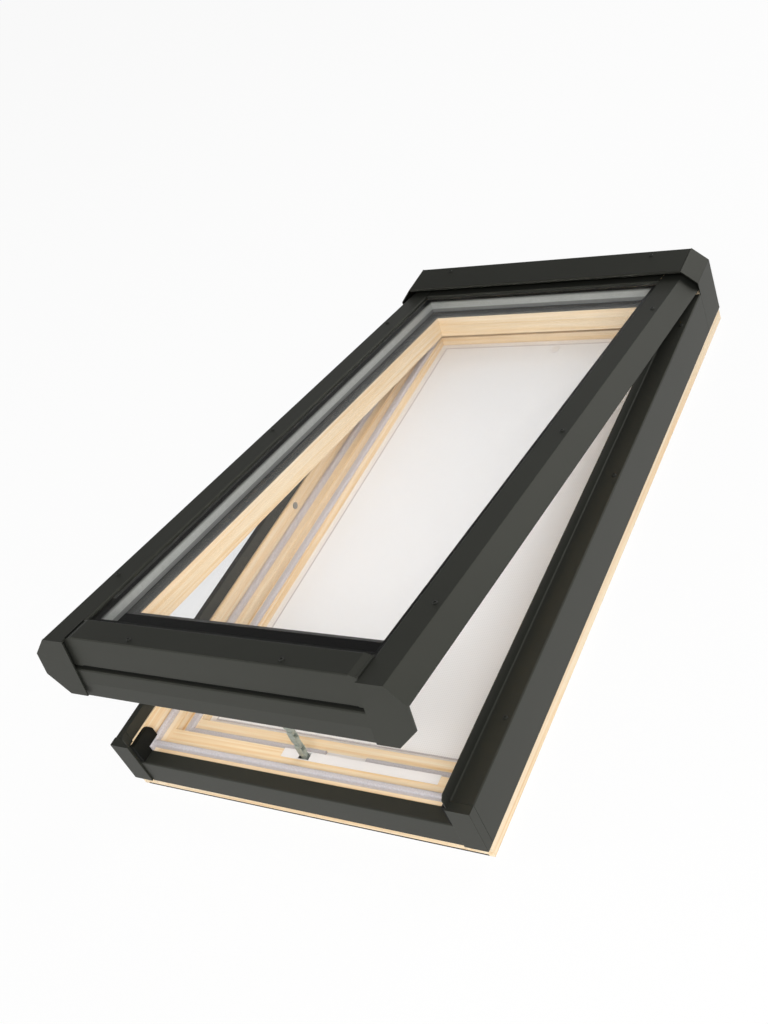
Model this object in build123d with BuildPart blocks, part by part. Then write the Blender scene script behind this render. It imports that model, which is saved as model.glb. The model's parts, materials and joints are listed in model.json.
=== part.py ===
from build123d import *
import os
from math import cos, radians, sin

os.makedirs("parts", exist_ok=True)

# All lengths in millimetres. The part lies flat on its deck face, with +Y up the roof slope.

# Frame, overall
frame_width = 620.0
frame_length = 1190.0
sheet = 1.5
bend = 2.5
overrun = 5.0
touch = 0.3

# Frame cladding
deck_reveal = 24.0
clad_height = 82.0
ledge_width = 34.0
upstand_height = 21.7
cap_depth = 14.5
cap_seam = 0.5
cap_edge = 0.8
cap_fin_start = 3.0
cap_fin_chamfer = 6.0
front_setback = 3.0
front_clad_drop = 2.0
front_ledge_reach = 27.0

# Frame wood, insets counted from the outer face of the cladding
wood_front = 8.0
rebate_inset = 36.0
first_step_inset = 60.0
first_step_end_inset = 72.0
second_step_inset = 80.0
second_step_end_inset = 107.0
lining_inset = 88.0
lining_end_inset = 115.0
first_step_height = 66.0
second_step_height = 50.0
screen_ledge_height = 24.5
lining_groove_height = 6.0
lining_groove_width = 12.0
lining_groove_depth = 10.0
wood_edge = 1.2

# Frame seals
outer_seal_width = 9.0
outer_seal_height = 10.0
outer_seal_front = 34.0
outer_seal_lead = 6.5
outer_seal_gap = 0.5
outer_seal_round = 3.4
inner_seal_inset = 66.0
inner_seal_end_inset = 75.0
inner_seal_lead = 2.5
inner_seal_width = 12.0
inner_seal_height = 6.0
inner_seal_round = 2.4
sill_strip_height = 3.0
sill_strip_depth = 12.0
sill_strip_inset = 10.0
corner_seal_width = 7.7
corner_seal_start = 5.0
corner_seal_length = 45.0
corner_seal_height = 36.0
corner_seal_round = 13.0
corner_seal_step = 1.0

# Hood
hood_length = 73.0
hood_clearance = 14.0
hood_flat_inset = 27.0
hood_lip = 6.0
hood_lip_return = 6.0
hood_end_lead = 2.0
hood_seam = 1.2

# Insect screen
screen_clearance = 0.5
screen_end_clearance = 2.0
screen_rail_width = 17.0
screen_rail_height = 9.0
spline_inset = 11.5
spline_width = 2.6
spline_depth = 2.4
spline_proud = 0.4
mesh_thickness = 0.4
tab_width = 14.0
tab_length = 24.0
tab_thickness = 1.2
tab_offset = 30.0
tab_chamfer = 4.0

# Chain drive
drive_left = -39.0
drive_end_gap = 27.0
drive_depth = 13.5
drive_floor = 16.0
drive_gap = 0.3
drive_shell = 1.2
gear_left = 22.0
gear_length = 70.0
gear_depth = 15.0
gear_floor = 30.0
cover_round = 3.0
well_half = 9.5
well_floor = 38.0
chain_inset = 7.0
chain_foot_gap = 8.0
chain_pitch = 14.0
chain_width = 9.0
plate_chamfer = 2.6
plate_thickness = 1.5
plate_gap = 3.6
rivet_radius = 2.2
rivet_proud = 0.4
rivet_sides = 8
shoulder_proud = 1.2
shoulder_share = 0.6
head_width = 12.0
head_depth = 9.0

# Sash, profile of the side cladding and the corner caps
sash_overhang = 20.0
vent_angle = 10.5
rail_ledge_gap = 2.5
rail_side_gap = 2.5
chamfer_run = 26.5
chamfer_drop = 27.5
rail_flat = 38.5
cap_side_drop = 64.0
cap_low_inset = 32.5
cap_drop = 96.5
cap_plate = 2.5
glass_drop = 5.5
top_clad_reach = 12.0
clad_past_hinge = 1.0

# Sash front
panel_setback = 6.5
panel_rise = 4.8
panel_bevel = 12.0
wing_reach = 20.0
wing_drop = 2.0
panel_flange_gap = 1.0
panel_drop = 45.0
apron_top = 50.0
apron_setback = 3.5
apron_crease_drop = 74.0
apron_drop = 101.5
apron_lean = 3.0
panel_end_gap = 0.4
panel_return = 6.0

# Sash wood
sash_front = 17.0
sash_inner_inset = 95.0
sash_side_gap = 10.0
sash_wall = 12.0
sash_clad_gap = 1.5
sash_floor_drop = 45.0
bottom_wall = 29.0
bottom_rail_inset = 100.0
top_wall = 22.0
top_rail_inset = 110.0
seal_clearance = 2.0
lip_clearance = 1.5
crown_clearance = 0.5
step_clearance = 1.0

# Glazing
pane_thickness = 6.0
pane_edge_gap = 2.0
pane_front_gap = 1.0
spacer_width = 9.0
spacer_inset = 10.0
bed_thickness = 3.0

# Hinges
hinge_inset = 43.0
hinge_drop = 16.0
hinge_side_inset = 120.0
hinge_width = 60.0
hinge_clearance = 8.0
knuckle_share = 1.0 / 3.0
knuckle_radius = 5.0
knuckle_gap = 0.3
pin_radius = 2.5
pin_clearance = 0.05
leaf_thickness = 2.0
frame_leaf_setback = 3.0
frame_leaf_length = 24.0
sash_leaf_drop = 52.0

# Chain bracket on the sash
bracket_plate = 1.5
bracket_half = 20.0
bracket_length = 16.0
bracket_lead = 0.5
bracket_hang = 7.0
bracket_pin_radius = 2.5
ear_thickness = 2.0
ear_half_depth = 5.0

# Screws
screw_radius = 3.6
screw_head = 2.2
screw_taper = 25.0
cap_screw_radius = 6.0
cap_screw_height = 1.6
hood_screw_inset = 98.5
hood_screw_back = 16.0
panel_screw_inset = 115.0
panel_screw_depth = 17.0
rail_screw_inset = 11.0
ledge_screw_inset = 10.0
ledge_screw_shares = (0.128, 0.53, 0.858)
rail_screw_shares = (0.135, 0.5, 0.86)
stile_cap_share = 0.455

# Places on the frame that several pieces share
half = frame_width / 2
ledge_height = deck_reveal + clad_height
wood_top = ledge_height - sheet
upstand_x = half - ledge_width
upstand_top = ledge_height + upstand_height
rebate_x = half - rebate_inset
first_step_x = half - first_step_inset
second_step_x = half - second_step_inset
lining_x = half - lining_inset
wood_x = half - sheet
wood_back = frame_length - sheet
inner_seal_edge = inner_seal_inset + inner_seal_width
inner_seal_end_edge = inner_seal_end_inset + inner_seal_width
outer_seal_start = outer_seal_front - outer_seal_lead
drive_right = first_step_x - drive_end_gap
drive_back = first_step_end_inset
drive_front = drive_back - drive_depth
cover_top = first_step_height
cover_under = cover_top - sheet
gear_right = gear_left + gear_length
gear_back = drive_back + gear_depth
gear_top = second_step_height
chain_exit = drive_front + chain_inset
chain_start = well_floor + chain_foot_gap

# Places on the sash: x from the middle, lengths from its front plane, drops from its top plane
sash_top = ledge_height + rail_ledge_gap + chamfer_drop
chamfer_outer = half - rail_side_gap
flat_outer = chamfer_outer - chamfer_run
flat_inner = flat_outer - rail_flat
cap_low_half = chamfer_outer - cap_low_inset
sash_outer = rebate_x - sash_side_gap
sash_rebate_wall = sash_outer - sash_wall
sash_inner = half - sash_inner_inset
step_half = first_step_x - seal_clearance
lip_half = half - inner_seal_edge - seal_clearance
hinge_from_front = frame_length - hinge_inset
hinge_height = sash_top - hinge_drop
hinge_offset = half - hinge_side_inset
hinge_along = hinge_from_front + sash_overhang
sash_back = hinge_along - hinge_clearance
sash_clad_end = hinge_along + clad_past_hinge
bottom_rebate_wall = sash_front + bottom_wall
bottom_rail_inner = bottom_rail_inset + sash_overhang
top_rebate_wall = sash_back - top_wall
top_rail_inner = frame_length - top_rail_inset + sash_overhang
top_clad_front = top_rebate_wall - top_clad_reach
nose_depth = outer_seal_front + outer_seal_width + seal_clearance + sash_overhang
step_depth = drive_back + sheet + seal_clearance + sash_overhang
lip_depth = inner_seal_end_edge + seal_clearance + sash_overhang
top_lip_back = frame_length - inner_seal_end_edge - seal_clearance + sash_overhang
top_seal_back = frame_length - first_step_end_inset - seal_clearance + sash_overhang
lip_drop = sash_top - second_step_height - lip_clearance
seal_drop = sash_top - second_step_height - inner_seal_height - crown_clearance
step_drop = sash_top - first_step_height - step_clearance
nose_drop = sash_top - first_step_height - outer_seal_height - step_clearance
panel_depth = bottom_rebate_wall + panel_flange_gap + sheet
glass_floor = sash_floor_drop - bed_thickness
pane_low = glass_floor - pane_thickness
spacer_height = glass_floor - glass_drop - pane_thickness * 2
bracket_from_front = chain_exit + bracket_lead + sash_overhang
bracket_pin_drop = step_drop + bracket_hang

# Places on the hood
hood_height = sash_top + hood_clearance + hood_lip
hood_front = frame_length - hood_length
hood_flat = half - hood_flat_inset
hood_shoulder = hood_height - hood_flat_inset
hood_half = hood_flat - hood_seam

# Working planes: local x runs across, local y up the slope, local z out of the roof
tilt = radians(vent_angle)
reach = -sash_overhang - hinge_from_front
rise = sash_top - hinge_height
sash_start = hinge_from_front + reach * cos(tilt) + rise * sin(tilt)
cap_toe = cap_edge * cos(tilt) - (cap_drop - cap_edge) * sin(tilt) - cap_edge
frame_start = -(frame_length + sash_start + cap_toe) / 2
frame_base = Plane(origin=(0, frame_start, 0))
sash_base = Plane(
    origin=(0, frame_start + sash_start, hinge_height - reach * sin(tilt) + rise * cos(tilt)),
    x_dir=(1, 0, 0),
    z_dir=(0, sin(tilt), cos(tilt)),
)
sides = (("left", -1), ("right", 1))


def across(base, along):
    """Plane for a section seen from the front: local x across, local y out of the roof."""
    return Plane(base.from_local_coords((0, along, 0)), x_dir=base.x_dir, z_dir=-base.y_dir)


def lengthwise(base, sideways):
    """Plane for a section seen from the right: local x up the slope, local y out of the roof."""
    return Plane(base.from_local_coords((sideways, 0, 0)), x_dir=base.y_dir, z_dir=base.x_dir)


def flat(base, height):
    """Plane parallel to the roof."""
    return base.offset(height)


def outline(*points):
    """Closed polygon as a face of the current sketch."""
    Polygon(*points, align=None)


def folded_sheet(side, *points):
    """Section of a folded sheet whose outer line is given and whose wall lies on one side."""
    with BuildLine() as fold_line:
        FilletPolyline(*points, radius=bend)
        offset(amount=sheet, side=side)
    make_face(fold_line.edges())


def ring(outer_x, front, back, width):
    """Rectangular ring in the current sketch, in the base plane's own coordinates."""
    middle = (front + back) / 2
    with Locations((0, middle)):
        Rectangle(outer_x * 2, back - front)
        Rectangle((outer_x - width) * 2, back - front - width * 2, mode=Mode.SUBTRACT)


def seal_strips(outer_x, side_start, front, back, width):
    """Four butted strips in the current sketch: the side strips run on past the front one."""
    for word, side in sides:
        with Locations((side * (outer_x - width / 2), (side_start + back) / 2)):
            Rectangle(width, back - side_start)
    for along in (front + width / 2, back - width / 2):
        with Locations((0, along)):
            Rectangle((outer_x - width - touch) * 2, width)


def long_top_edges(seal, width):
    """The long edges on top of butted strips, without their cut ends."""
    top_edges = seal.faces().group_by(Axis.Z)[-1].edges()
    return [edge for edge in top_edges if edge.length > width * 2]


def save(piece, name):
    piece.label = name
    export_step(piece, f"parts/{name}.step")


# Frame wood
def frame_stile(side):
    with BuildPart() as stile:
        with BuildSketch(across(frame_base, wood_front)):
            outline(
                (side * wood_x, 0),
                (side * wood_x, wood_top),
                (side * rebate_x, wood_top),
                (side * rebate_x, first_step_height),
                (side * first_step_x, first_step_height),
                (side * first_step_x, 0),
            )
        extrude(amount=-(wood_back - wood_front))
        fillet(stile.edges().filter_by(Axis.Y).group_by(Axis.Z)[-1], wood_edge)
        with BuildSketch(across(frame_base, second_step_end_inset)):
            outline(
                (side * first_step_x, 0),
                (side * first_step_x, second_step_height),
                (side * second_step_x, second_step_height),
                (side * second_step_x, screen_ledge_height),
                (side * lining_x, screen_ledge_height),
                (side * lining_x, 0),
            )
        extrude(amount=-(frame_length - second_step_end_inset * 2))
        groove_start = lining_end_inset - lining_groove_depth
        with BuildSketch(across(frame_base, groove_start)):
            outline(
                (side * lining_x, lining_groove_height),
                (side * (lining_x + lining_groove_depth), lining_groove_height),
                (side * (lining_x + lining_groove_depth), lining_groove_height + lining_groove_width),
                (side * lining_x, lining_groove_height + lining_groove_width),
            )
        extrude(amount=-(frame_length - groove_start * 2), mode=Mode.SUBTRACT)
        with BuildSketch(lengthwise(frame_base, 0)):
            outline(
                (0, 0),
                (wood_front + sill_strip_depth, 0),
                (wood_front + sill_strip_depth, sill_strip_height),
                (0, sill_strip_height),
            )
        extrude(amount=side * (half - sill_strip_inset), mode=Mode.SUBTRACT)
    return stile.part


groove_half = lining_x + lining_groove_depth


def groove_section(inner_face):
    """Groove for the room lining along the inner face of a frame rail."""
    with BuildSketch(lengthwise(frame_base, -groove_half)) as section:
        with Locations((inner_face, lining_groove_height + lining_groove_width / 2)):
            Rectangle(lining_groove_depth * 2, lining_groove_width)
    return section.sketch


with BuildPart() as frame_bottom_rail:
    with BuildSketch(lengthwise(frame_base, -first_step_x)):
        outline(
            (wood_front, 0),
            (wood_front, first_step_height),
            (first_step_end_inset, first_step_height),
            (first_step_end_inset, second_step_height),
            (second_step_end_inset, second_step_height),
            (second_step_end_inset, 0),
        )
    extrude(amount=first_step_x * 2)
    with BuildSketch(lengthwise(frame_base, -lining_x)):
        outline(
            (second_step_end_inset, 0),
            (second_step_end_inset, screen_ledge_height),
            (lining_end_inset, screen_ledge_height),
            (lining_end_inset, 0),
        )
    extrude(amount=lining_x * 2)
    extrude(groove_section(lining_end_inset), amount=groove_half * 2, mode=Mode.SUBTRACT)
    with BuildSketch(lengthwise(frame_base, -first_step_x)):
        outline(
            (0, 0),
            (wood_front + sill_strip_depth, 0),
            (wood_front + sill_strip_depth, sill_strip_height),
            (0, sill_strip_height),
        )
    extrude(amount=first_step_x * 2, mode=Mode.SUBTRACT)
    with BuildSketch(flat(frame_base, drive_floor)):
        outline(
            (drive_left - drive_gap, drive_front - drive_gap),
            (drive_right + drive_gap, drive_front - drive_gap),
            (drive_right + drive_gap, drive_back),
            (drive_left - drive_gap, drive_back),
        )
    extrude(amount=first_step_height, mode=Mode.SUBTRACT)
    with BuildSketch(flat(frame_base, gear_floor)):
        outline(
            (gear_left - drive_gap, drive_back - overrun),
            (gear_right + drive_gap, drive_back - overrun),
            (gear_right + drive_gap, gear_back + drive_gap),
            (gear_left - drive_gap, gear_back + drive_gap),
        )
    extrude(amount=first_step_height, mode=Mode.SUBTRACT)

with BuildPart() as frame_top_rail:
    with BuildSketch(lengthwise(frame_base, -first_step_x)):
        outline(
            (wood_back, 0),
            (wood_back, wood_top),
            (frame_length - rebate_inset, wood_top),
            (frame_length - rebate_inset, first_step_height),
            (frame_length - first_step_end_inset, first_step_height),
            (frame_length - first_step_end_inset, second_step_height),
            (frame_length - second_step_end_inset, second_step_height),
            (frame_length - second_step_end_inset, 0),
        )
    extrude(amount=first_step_x * 2)
    with BuildSketch(lengthwise(frame_base, -lining_x)):
        outline(
            (frame_length - second_step_end_inset, 0),
            (frame_length - second_step_end_inset, screen_ledge_height),
            (frame_length - lining_end_inset, screen_ledge_height),
            (frame_length - lining_end_inset, 0),
        )
    extrude(amount=lining_x * 2)
    extrude(groove_section(frame_length - lining_end_inset), amount=groove_half * 2, mode=Mode.SUBTRACT)

for word, side in sides:
    save(frame_stile(side), f"frame_{word}_stile")
save(frame_bottom_rail.part, "frame_bottom_rail")
save(frame_top_rail.part, "frame_top_rail")


# Frame cladding
def frame_side_cladding(side):
    fold = Side.LEFT if side > 0 else Side.RIGHT
    with BuildPart() as cladding:
        with BuildSketch(across(frame_base, cap_depth + cap_seam)):
            folded_sheet(
                fold,
                (side * half, deck_reveal),
                (side * half, ledge_height),
                (side * upstand_x, ledge_height),
                (side * upstand_x, upstand_top),
            )
        extrude(amount=-(hood_front - hood_end_lead - cap_depth - cap_seam * 2))
    return cladding.part


def frame_corner_cap(side):
    with BuildPart() as cap:
        with BuildSketch(across(frame_base, 0)):
            outline(
                (side * half, deck_reveal),
                (side * half, ledge_height),
                (side * rebate_x, ledge_height),
                (side * rebate_x, deck_reveal),
            )
        extrude(amount=-cap_depth)
        with BuildSketch(across(frame_base, sheet)):
            outline(
                (side * (half - sheet), deck_reveal - overrun),
                (side * (half - sheet), wood_top),
                (side * (rebate_x + sheet), wood_top),
                (side * (rebate_x + sheet), deck_reveal - overrun),
            )
        extrude(amount=-cap_depth, mode=Mode.SUBTRACT)
        with BuildSketch(across(frame_base, wood_front - touch)):
            outline(
                (side * (half - sheet), deck_reveal - overrun),
                (side * (half - sheet), wood_top),
                (side * (rebate_x - overrun), wood_top),
                (side * (rebate_x - overrun), deck_reveal - overrun),
            )
        extrude(amount=-cap_depth, mode=Mode.SUBTRACT)
        with BuildSketch(lengthwise(frame_base, side * upstand_x)):
            outline(
                (cap_fin_start, ledge_height),
                (cap_fin_start, upstand_top - cap_fin_chamfer),
                (cap_fin_start + cap_fin_chamfer, upstand_top),
                (cap_depth, upstand_top),
                (cap_depth, ledge_height),
            )
        extrude(amount=-side * sheet)
        fillet(cap.edges().filter_by(Axis.Z).group_by(Axis.Y)[0], cap_edge)
    return cap.part


with BuildPart() as frame_front_cladding:
    with BuildSketch(lengthwise(frame_base, -(rebate_x - touch))):
        folded_sheet(
            Side.RIGHT,
            (front_setback, deck_reveal - front_clad_drop),
            (front_setback, first_step_height + sheet),
            (front_ledge_reach, first_step_height + sheet),
        )
    extrude(amount=(rebate_x - touch) * 2)

for word, side in sides:
    save(frame_side_cladding(side), f"frame_{word}_cladding")
    save(frame_corner_cap(side), f"frame_{word}_corner_cap")
save(frame_front_cladding.part, "frame_front_cladding")

# Frame seals
with BuildPart() as outer_frame_seal:
    with BuildSketch(flat(frame_base, first_step_height)):
        seal_strips(
            rebate_x - outer_seal_gap,
            outer_seal_start,
            outer_seal_front,
            frame_length - rebate_inset - outer_seal_gap,
            outer_seal_width,
        )
    extrude(amount=outer_seal_height)
    fillet(long_top_edges(outer_frame_seal, outer_seal_width), outer_seal_round)

with BuildPart() as inner_frame_seal:
    with BuildSketch(flat(frame_base, second_step_height)):
        seal_strips(
            half - inner_seal_inset,
            inner_seal_end_inset - inner_seal_lead,
            inner_seal_end_inset,
            frame_length - inner_seal_end_inset,
            inner_seal_width,
        )
    extrude(amount=inner_seal_height)
    fillet(long_top_edges(inner_frame_seal, inner_seal_width), inner_seal_round)
    with BuildSketch(flat(frame_base, second_step_height)):
        outline(
            (gear_left - drive_gap, inner_seal_end_inset - overrun),
            (gear_right + drive_gap, inner_seal_end_inset - overrun),
            (gear_right + drive_gap, gear_back + overrun),
            (gear_left - drive_gap, gear_back + overrun),
        )
    extrude(amount=inner_seal_height, mode=Mode.SUBTRACT)

with BuildPart() as sill_strip:
    with BuildSketch(lengthwise(frame_base, -(half - sill_strip_inset))):
        outline(
            (wood_front, 0),
            (wood_front, sill_strip_height),
            (wood_front + sill_strip_depth, sill_strip_height),
            (wood_front + sill_strip_depth, 0),
        )
    extrude(amount=(half - sill_strip_inset) * 2)


def corner_seal(side):
    seat = first_step_height + sheet
    clear_of_seal = first_step_height + outer_seal_height + corner_seal_step
    end = corner_seal_start + corner_seal_length
    with BuildPart() as block:
        with BuildSketch(lengthwise(frame_base, side * rebate_x)):
            outline(
                (corner_seal_start, seat),
                (corner_seal_start, seat + corner_seal_height),
                (end, seat + corner_seal_height),
                (end, clear_of_seal),
                (outer_seal_start - outer_seal_gap, clear_of_seal),
                (outer_seal_start - outer_seal_gap, seat),
            )
        extrude(amount=-side * corner_seal_width)
        back_edges = block.edges().filter_by(Axis.X).group_by(Axis.Y)[-1]
        fillet(back_edges.sort_by(Axis.Z)[-1], corner_seal_round)
    return block.part


save(outer_frame_seal.part, "outer_frame_seal")
save(inner_frame_seal.part, "inner_frame_seal")
save(sill_strip.part, "sill_strip")
for word, side in sides:
    save(corner_seal(side), f"{word}_corner_seal")

# Hood over the hinge end
with BuildPart() as hood_cover:
    with BuildSketch(lengthwise(frame_base, -hood_half)):
        folded_sheet(
            Side.RIGHT,
            (hood_front + hood_lip_return, hood_height - hood_lip),
            (hood_front, hood_height - hood_lip),
            (hood_front, hood_height),
            (frame_length, hood_height),
            (frame_length, deck_reveal),
        )
    extrude(amount=hood_half * 2)


def hood_end(side):
    fold = Side.LEFT if side > 0 else Side.RIGHT
    with BuildPart() as end:
        with BuildSketch(across(frame_base, hood_front - hood_end_lead)):
            folded_sheet(
                fold,
                (side * half, deck_reveal),
                (side * half, hood_shoulder),
                (side * hood_flat, hood_height),
            )
        extrude(amount=-(hood_length + hood_end_lead))
        with BuildSketch(across(frame_base, frame_length - sheet)):
            outline(
                (side * (half - sheet), deck_reveal),
                (side * (half - sheet), hood_shoulder),
                (side * (hood_flat + touch), hood_height - sheet),
                (side * (hood_flat + touch), deck_reveal),
            )
        extrude(amount=-sheet)
    return end.part


save(hood_cover.part, "hood_cover")
for word, side in sides:
    save(hood_end(side), f"hood_{word}_end")

# Insect screen in the lining opening
screen_x = second_step_x - screen_clearance
screen_front = second_step_end_inset + screen_end_clearance
screen_back = frame_length - screen_front
screen_top = screen_ledge_height + screen_rail_height
spline_x = screen_x - spline_inset
spline_front = screen_front + spline_inset
spline_back = screen_back - spline_inset

with BuildPart() as screen_frame:
    with BuildSketch(flat(frame_base, screen_ledge_height)):
        ring(screen_x, screen_front, screen_back, screen_rail_width)
    extrude(amount=screen_rail_height)
    with BuildSketch(flat(frame_base, screen_top - spline_depth)):
        ring(spline_x, spline_front, spline_back, spline_width)
    extrude(amount=spline_depth, mode=Mode.SUBTRACT)

with BuildPart() as screen_spline:
    with BuildSketch(flat(frame_base, screen_top - spline_depth)):
        ring(spline_x, spline_front, spline_back, spline_width)
    extrude(amount=spline_depth + spline_proud)

with BuildPart() as screen_mesh:
    with BuildSketch(flat(frame_base, screen_top)):
        with Locations((0, frame_length / 2)):
            Rectangle(
                (spline_x - spline_width) * 2,
                spline_back - spline_front - spline_width * 2,
            )
    extrude(amount=mesh_thickness)

with BuildPart() as screen_tab:
    with BuildSketch(flat(frame_base, screen_top + mesh_thickness)):
        with Locations((tab_offset, spline_back - spline_width - tab_length / 2)):
            tab = Rectangle(tab_width, tab_length)
        chamfer(tab.vertices(), tab_chamfer)
    extrude(amount=tab_thickness)

save(screen_frame.part, "screen_frame")
save(screen_spline.part, "screen_spline")
save(screen_mesh.part, "screen_mesh")
save(screen_tab.part, "screen_tab")

# Chain drive in the bottom rail
with BuildPart() as drive_housing:
    with BuildSketch(flat(frame_base, drive_floor)):
        outline(
            (drive_left, drive_front),
            (drive_right, drive_front),
            (drive_right, drive_back - drive_gap),
            (drive_left, drive_back - drive_gap),
        )
    extrude(amount=cover_under - drive_floor)
    with BuildSketch(flat(frame_base, gear_floor)):
        outline(
            (gear_left, drive_back - overrun),
            (gear_right, drive_back - overrun),
            (gear_right, gear_back),
            (gear_left, gear_back),
        )
    extrude(amount=gear_top - gear_floor)
    with BuildSketch(flat(frame_base, well_floor)):
        outline(
            (-well_half, drive_front + drive_shell),
            (well_half, drive_front + drive_shell),
            (well_half, drive_back - drive_gap),
            (-well_half, drive_back - drive_gap),
        )
    extrude(amount=cover_top, mode=Mode.SUBTRACT)

with BuildPart() as drive_cover:
    with BuildSketch(flat(frame_base, cover_under)):
        outline(
            (drive_left, drive_front),
            (drive_right, drive_front),
            (drive_right, drive_back + sheet),
            (drive_left, drive_back + sheet),
        )
    extrude(amount=sheet)
    with BuildSketch(across(frame_base, drive_back)):
        outline(
            (drive_left, gear_top),
            (drive_right, gear_top),
            (drive_right, cover_under),
            (drive_left, cover_under),
        )
    extrude(amount=-sheet)
    with BuildSketch(flat(frame_base, gear_top)):
        outline(
            (gear_left, drive_back),
            (gear_right, drive_back),
            (gear_right, gear_back),
            (gear_left, gear_back),
        )
    extrude(amount=sheet)
    fillet(drive_cover.edges().filter_by(Axis.Z).group_by(Axis.Y)[-1], cover_round)
    with BuildSketch(flat(frame_base, cover_under)):
        outline(
            (-well_half, drive_front + drive_shell),
            (well_half, drive_front + drive_shell),
            (well_half, drive_back - drive_gap),
            (-well_half, drive_back - drive_gap),
        )
    extrude(amount=sheet, mode=Mode.SUBTRACT)

# The chain runs straight from its exit to the pin of the sash bracket
chain_foot = Vector(frame_base.from_local_coords((0, chain_exit, chain_start)))
chain_head = Vector(sash_base.from_local_coords((0, bracket_from_front, -bracket_pin_drop)))
chain_run = chain_head - chain_foot
chain_base = Plane(chain_foot, x_dir=(1, 0, 0), z_dir=chain_run.normalized())
chain_links = round(chain_run.length / chain_pitch)
link_pitch = chain_run.length / chain_links
inner_plate = plate_gap / 2
outer_plate = inner_plate + plate_thickness
plate_half = chain_width / 2


def plate_section(start, depth, facing):
    """Side plate of one link, with the square shoulder that stops the chain folding back."""
    face = Plane(
        chain_base.from_local_coords((0, facing * depth, 0)),
        x_dir=chain_base.x_dir,
        z_dir=chain_base.y_dir * facing,
    )
    middle = -facing * (start + link_pitch / 2)
    plate_end = (link_pitch + chain_width) / 2
    with BuildSketch(face) as section:
        with Locations((0, middle)):
            plate = Rectangle(chain_width, plate_end * 2)
        chamfer(plate.vertices(), plate_chamfer)
        with Locations((plate_half - shoulder_proud, middle)):
            Rectangle(shoulder_proud * 4, link_pitch * shoulder_share)
    return section.sketch


with BuildPart() as drive_chain:
    for link in range(chain_links - 1):
        depth = inner_plate if link % 2 else outer_plate
        for facing in (-1, 1):
            extrude(plate_section(link * link_pitch, depth, facing), amount=plate_thickness)
    for joint in range(chain_links):
        joint_plane = Plane(
            chain_base.from_local_coords((0, 0, joint * link_pitch)),
            x_dir=chain_base.x_dir,
            z_dir=chain_base.y_dir,
        )
        with BuildSketch(joint_plane):
            RegularPolygon(rivet_radius, rivet_sides)
        extrude(amount=outer_plate + plate_thickness + rivet_proud, both=True)
    head_plane = Plane(chain_head, x_dir=chain_base.y_dir, z_dir=chain_base.x_dir)
    with BuildSketch(head_plane):
        Circle(head_depth / 2)
        with Locations((0, -link_pitch / 2)):
            Rectangle(head_depth, link_pitch)
    extrude(amount=head_width / 2, both=True)
    with BuildSketch(head_plane):
        Circle(bracket_pin_radius + pin_clearance)
    extrude(amount=head_width, both=True, mode=Mode.SUBTRACT)

save(drive_housing.part, "drive_housing")
save(drive_cover.part, "drive_cover")
save(drive_chain.part, "drive_chain")


# Sash wood
def sash_stile(side):
    with BuildPart() as stile:
        with BuildSketch(across(sash_base, sash_front)):
            outline(
                (side * sash_outer, -step_drop),
                (side * sash_outer, -sash_clad_gap),
                (side * sash_rebate_wall, -sash_clad_gap),
                (side * sash_rebate_wall, -sash_floor_drop),
                (side * step_half, -sash_floor_drop),
                (side * step_half, -step_drop),
            )
        extrude(amount=-(sash_back - sash_front))
        with BuildSketch(lengthwise(sash_base, side * step_half)):
            outline(
                (0, -nose_drop),
                (nose_depth, -nose_drop),
                (nose_depth, -step_drop - overrun),
                (0, -step_drop - overrun),
            )
        extrude(amount=side * frame_width, mode=Mode.SUBTRACT)
        with BuildSketch(across(sash_base, bottom_rail_inner)):
            outline(
                (side * step_half, -seal_drop),
                (side * step_half, -sash_floor_drop),
                (side * sash_inner, -sash_floor_drop),
                (side * sash_inner, -lip_drop),
                (side * lip_half, -lip_drop),
                (side * lip_half, -seal_drop),
            )
        extrude(amount=-(top_rail_inner - bottom_rail_inner))
    return stile.part


with BuildPart() as sash_bottom_rail:
    with BuildSketch(lengthwise(sash_base, -step_half)):
        outline(
            (sash_front, -nose_drop),
            (sash_front, -sash_clad_gap),
            (bottom_rebate_wall, -sash_clad_gap),
            (bottom_rebate_wall, -sash_floor_drop),
            (bottom_rail_inner, -sash_floor_drop),
            (bottom_rail_inner, -seal_drop),
            (step_depth, -seal_drop),
            (step_depth, -step_drop),
            (nose_depth, -step_drop),
            (nose_depth, -nose_drop),
        )
    extrude(amount=step_half * 2)
    with BuildSketch(lengthwise(sash_base, -lip_half)):
        outline(
            (lip_depth, -seal_drop),
            (bottom_rail_inner, -seal_drop),
            (bottom_rail_inner, -lip_drop),
            (lip_depth, -lip_drop),
        )
    extrude(amount=lip_half * 2)
    with BuildSketch(flat(sash_base, -step_drop - overrun)):
        with Locations((0, bracket_from_front)):
            Rectangle((bracket_half + touch) * 2, bracket_length + touch * 2)
    extrude(amount=overrun + bracket_plate, mode=Mode.SUBTRACT)

with BuildPart() as sash_top_rail:
    with BuildSketch(lengthwise(sash_base, -step_half)):
        outline(
            (sash_back, -step_drop),
            (sash_back, -sash_clad_gap),
            (top_rebate_wall, -sash_clad_gap),
            (top_rebate_wall, -sash_floor_drop),
            (top_rail_inner, -sash_floor_drop),
            (top_rail_inner, -seal_drop),
            (top_seal_back, -seal_drop),
            (top_seal_back, -step_drop),
        )
    extrude(amount=step_half * 2)
    with BuildSketch(lengthwise(sash_base, -lip_half)):
        outline(
            (top_rail_inner, -seal_drop),
            (top_lip_back, -seal_drop),
            (top_lip_back, -lip_drop),
            (top_rail_inner, -lip_drop),
        )
    extrude(amount=lip_half * 2)

for word, side in sides:
    save(sash_stile(side), f"sash_{word}_stile")
save(sash_bottom_rail.part, "sash_bottom_rail")
save(sash_top_rail.part, "sash_top_rail")


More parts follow.
